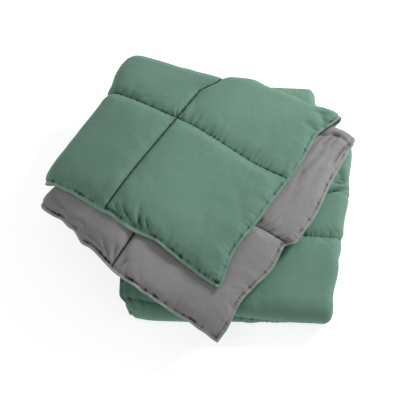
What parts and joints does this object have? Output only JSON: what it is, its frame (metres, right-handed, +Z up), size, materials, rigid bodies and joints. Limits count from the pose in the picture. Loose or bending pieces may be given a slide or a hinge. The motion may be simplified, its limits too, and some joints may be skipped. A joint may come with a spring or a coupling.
{
  "type": "duvet",
  "caption": "Box-quilted duvet, green on one side and grey on the other, folded into a low block with its top quarter turned at an angle so that the reverse shows.",
  "frame": {"origin": "centre of the bounding box in plan, at the surface that the duvet rests on", "axes": "+Z up, +X to the right of the folded block, -Y towards its rounded front fold"},
  "size_m": [0.7678, 0.7922, 0.2035],
  "materials": {
    "face_cloth": "brushed microfibre, sage green",
    "reverse_cloth": "brushed microfibre, mid grey",
    "thread": "sewing thread, green"
  },
  "bodies": {
    "root": {"duvet": "face_cloth"}
  },
  "joints": []
}
